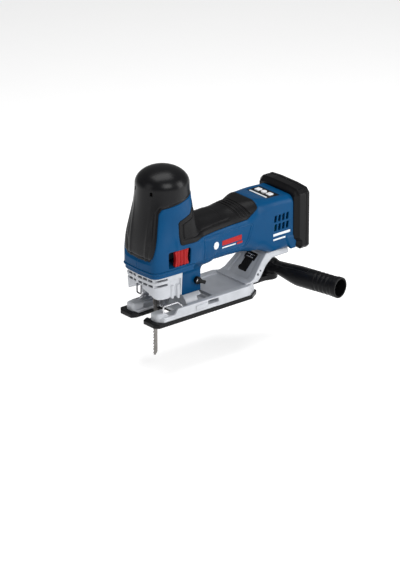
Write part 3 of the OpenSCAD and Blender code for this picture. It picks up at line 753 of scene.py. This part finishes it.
def round_key(x, y, z):
    """The middle key, with a ring pressed into it."""
    r = np.hypot(x - KEY_X, y)
    ring_mark = 0.3 * np.exp(-((r - 2.2) / 0.4) ** 2) * (z > KEY_TOP)
    return smax(r - 3.95, np.abs(z - 123.15) - 1.05, 0.5) + ring_mark


add(form("panel_key_round", round_key, (177.8, -4.2, 122), (186.2, 4.2, 124.5), 0.25), "key_b",
    ["key_round"], WHITE)


# ---------------------------------------------------------------- blade end
TIP_Z = 55            # how far the blade reaches below the sole
TOOTH = 4.0           # pitch of the teeth


def saw(x, y, z):
    """The blade, with slanted teeth set to alternate sides."""
    outline = [(3.4, 50.5), (3.4, -50.8), (0, -54.9), (-2.0, -54), (-1.1, 14), (-3.4, 17), (-3.4, 50.5)]
    body = slab(poly(x, z, outline), y, 0.55)
    t = np.mod(z + TIP_Z, TOOTH) / TOOTH
    tooth_x = -1.1 - 2.4 * (1 - t)
    set_y = 0.25 * np.sign(np.sin((z + TIP_Z) * math.pi / TOOTH))
    ends = np.maximum(-53.5 - z, z - 14)
    teeth = np.maximum(np.maximum(tooth_x - x, x - 0.5), np.maximum(np.abs(y - set_y) - 0.45, ends))
    return np.minimum(body, teeth)


add(form("saw_blade", saw, (-3.7, -0.9, -56), (3.7, 0.9, 51), 0.28), "plunger_body", ["blade"],
    BLADE)


def sleeve(x, y, z):
    """The blade clamp's knurled sleeve."""
    r = np.hypot(x, y)
    a = np.arctan2(y, x)
    f = r - 7.7 + 0.45 * (0.5 - 0.5 * np.cos(a * 12)) * ease((z - 43) / 2) * (1 - ease((z - 54) / 2))
    f = smax(f, np.abs(z - 49.6) - 7.45, 0.8)
    return np.maximum(f, -(r - 5.06))


add(form("clamp_knurl", sleeve, (-8.2, -8.2, 42), (8.2, 8.2, 57.2), 0.35), "sleeve", ["clamp_sleeve"],
    DARK_STEEL)


def tube(name, points, radius, body, nodes, look):
    """A round wire through points."""
    curve = bpy.data.curves.new(name, "CURVE")
    curve.dimensions = "3D"
    curve.bevel_depth = radius * MM
    curve.bevel_resolution = 4
    curve.use_fill_caps = True
    spline = curve.splines.new("BEZIER")
    spline.bezier_points.add(len(points) - 1)
    for bp, p in zip(spline.bezier_points, points):
        bp.co = Vector(p) * MM
        bp.handle_left_type = bp.handle_right_type = "VECTOR"
    piece = bpy.data.objects.new(name, curve)
    bpy.context.scene.collection.objects.link(piece)
    add(piece, body, nodes, look)


def rounded(points, r, steps=5):
    """The same route with each corner rounded."""
    out = [points[0]]
    for a, b, c in zip(points, points[1:], points[2:]):
        a, b, c = Vector(a), Vector(b), Vector(c)
        p, q = b + (a - b).normalized() * r, b + (c - b).normalized() * r
        for n in range(steps + 1):
            t = n / steps
            out.append(tuple((1 - t) ** 2 * p + 2 * t * (1 - t) * b + t * t * q))
    return out + [points[-1]]


WIRE_R = 1.0
tube("guard_loop", rounded([(-26.5, -4, 49.9), (-26.5, -4, 38), (-26.5, 4, 38), (-26.5, 4, 49.9)], 2), WIRE_R,
     "housing", ["guard_wire"], DARK_STEEL)
# the right clip lies low, clear of the casting when the base tilts 45 degrees
for side, name, top in ((-1, "left", 24.5), (1, "right", 15.0)):
    inner, outer = side * 30.5, side * 33.5
    route = [(-11.5, inner, 11), (-11.5, inner, top), (12, inner, top), (16, outer, 0.64 * top + 4.3),
             (22, outer, 12)]
    tube("clip_wire_" + name, rounded(route, 1.5), WIRE_R, "base", [], STEEL)


# ---------------------------------------------------------------- printed marks, generic
def on_skin(outline, grow, lift, side):
    """A thin printed patch lying on one side of the clamshell."""
    def field(x, y, z):
        f = body_form(x, y, z) + lift
        return np.maximum(np.maximum(np.abs(f) - 0.25, poly(x, z, outline, grow)), 5 - side * y)
    return field


SUNK, PROUD = 0.72, -0.05      # lift in the label field, and on the plain skin behind it
OVAL = [(75 + 3.6 * math.cos(n / 8 * math.tau), 86.4 + 4.4 * math.sin(n / 8 * math.tau)) for n in range(8)]
# name, outline (x, z), growth, lift, range of x, range of z, look, slot
MARKS = [
    ("name_bar_", [(86, 84), (117, 84.6), (117, 90), (86, 89.2)], 0.8, SUNK, (83, 120), (82, 92),
     RED, "red_plastic"),
    ("name_disc_", OVAL, 1.0, SUNK, (69, 81), (80, 93), PRINT, "key_white"),
    ("name_line_", [(86, 79.2), (108, 79.4), (108, 81), (86, 80.8)], 0.2, SUNK, (84, 110), (78, 82.5),
     PRINT, "key_white"),
    ("name_tag_", [(110.5, 79), (119, 79.2), (119, 81.8), (110.5, 81.6)], 0.4, SUNK, (109, 121), (77.5, 83.5),
     RED, "red_plastic"),
    ("spec_lines_", [(170, 74), (198, 74), (198, 77), (170, 77)], 0.2, PROUD, (168, 200), (72.5, 78.5),
     PRINT, "key_white"),
    ("spec_line_low_", [(170, 68), (190, 68), (190, 70), (170, 70)], 0.2, PROUD, (168, 192), (66.5, 71.5),
     PRINT, "key_white"),
]
for side, name in ((-1, "left"), (1, "right")):
    for mark, outline, grow, lift, (x0, x1), (z0, z1), look, slot in MARKS:
        margin = 1 if lift == PROUD else 0
        y0, y1 = (-34 - margin, -18 + margin) if side < 0 else (18 - margin, 34 + margin)
        patch = form(mark + name, on_skin(outline, grow, lift, side), (x0, y0, z0), (x1, y1, z1), 0.32)
        add(patch, "housing", [], look)


# ---------------------------------------------------------------- carried-over CAD nodes
CARRIED = {
    STEEL: ["arch_screws", "lever_pin", "housing_screws", "crank_axle", "front_bearing", "rear_bearing",
            "plunger", "yoke", "crank_gear", "balance_weight", "crank_pin", "rotor", "pinion", "orbital_shaft",
            "roller_fork", "fork_pin", "roller_axle", "guide_roller"],
    SILVER_DARK: ["gear_frame", "end_shield"],
    BRONZE: ["lower_bush", "upper_bush"],
    COPPER: ["stator", "terminal_block"],
    RUBBER: ["plunger_seal"],
    DARK_STEEL: ["clamp_ring"],
    BLACK: ["fan", "switch_link", "switch_module"],
    BOARD: ["control_board"],
    LEAD: ["motor_leads"],
    LENS: ["work_lights"],
}
for look, names in CARRIED.items():
    for name in names:
        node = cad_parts[name]
        node.data.materials.clear()
        node.data.materials.append(look)

# ---------------------------------------------------------------- stage, light, camera
FLOOR_HALF, FLOOR_Z = 6, -0.072
corners = [(a * FLOOR_HALF, b * FLOOR_HALF, 0) for a, b in ((-1, -1), (1, -1), (1, 1), (-1, 1))]
floor = bpy.data.objects.new("floor", bpy.data.meshes.new("floor"))
floor.data.from_pydata(corners, [], [(0, 1, 2, 3)])
floor.location.z = FLOOR_Z
floor.data.materials.append(FLOOR)
bpy.context.scene.collection.objects.link(floor)

world = bpy.data.worlds.new("studio")
bpy.context.scene.world = world
world.use_nodes = True
sky = world.node_tree.nodes["Background"].inputs
sky["Color"].default_value = (1, 1, 1, 1)
sky["Strength"].default_value = 0.22


MIDDLE = Vector((0.07, 0, 0.09))


def softbox(name, place, size, power):
    """A rectangular area light aimed at the tool's middle."""
    light = bpy.data.lights.new(name, "AREA")
    light.shape = "RECTANGLE"
    light.size, light.size_y = size
    light.energy = power
    lamp = bpy.data.objects.new(name, light)
    lamp.location = place
    lamp.rotation_euler = (MIDDLE - Vector(place)).to_track_quat("-Z", "Y").to_euler()
    bpy.context.scene.collection.objects.link(lamp)


softbox("key_left", (-0.35, -1.35, 1.1), (0.9, 0.9), 16)
softbox("fill_front", (-1.3, 0.2, 0.5), (0.6, 1.0), 2.5)
softbox("top", (0.1, 0.1, 1.5), (1.2, 0.8), 13)
softbox("rear", (0.9, -0.9, 0.5), (0.5, 0.9), 8)

AIM = Vector((0.0747, 0, 0.0219))
AZIMUTH, ELEVATION = math.radians(-40), math.radians(22.7)
VIEW_TALL = 0.57 / 0.78        # height of the view at the aim, in metres
LENS_MM, SENSOR_MM = 450.0, 36.0
distance = VIEW_TALL * LENS_MM / SENSOR_MM
flat = math.cos(ELEVATION)
away = Vector((math.sin(AZIMUTH) * flat, -math.cos(AZIMUTH) * flat, math.sin(ELEVATION)))
camera = bpy.data.objects.new("camera", bpy.data.cameras.new("camera"))
camera.data.lens = LENS_MM
camera.data.sensor_width = SENSOR_MM
camera.data.clip_end = 50
camera.location = AIM + away * distance
camera.rotation_euler = (-away).to_track_quat("-Z", "Y").to_euler()
bpy.context.scene.collection.objects.link(camera)
bpy.context.scene.camera = camera
bpy.context.scene.view_settings.view_transform = "Standard"
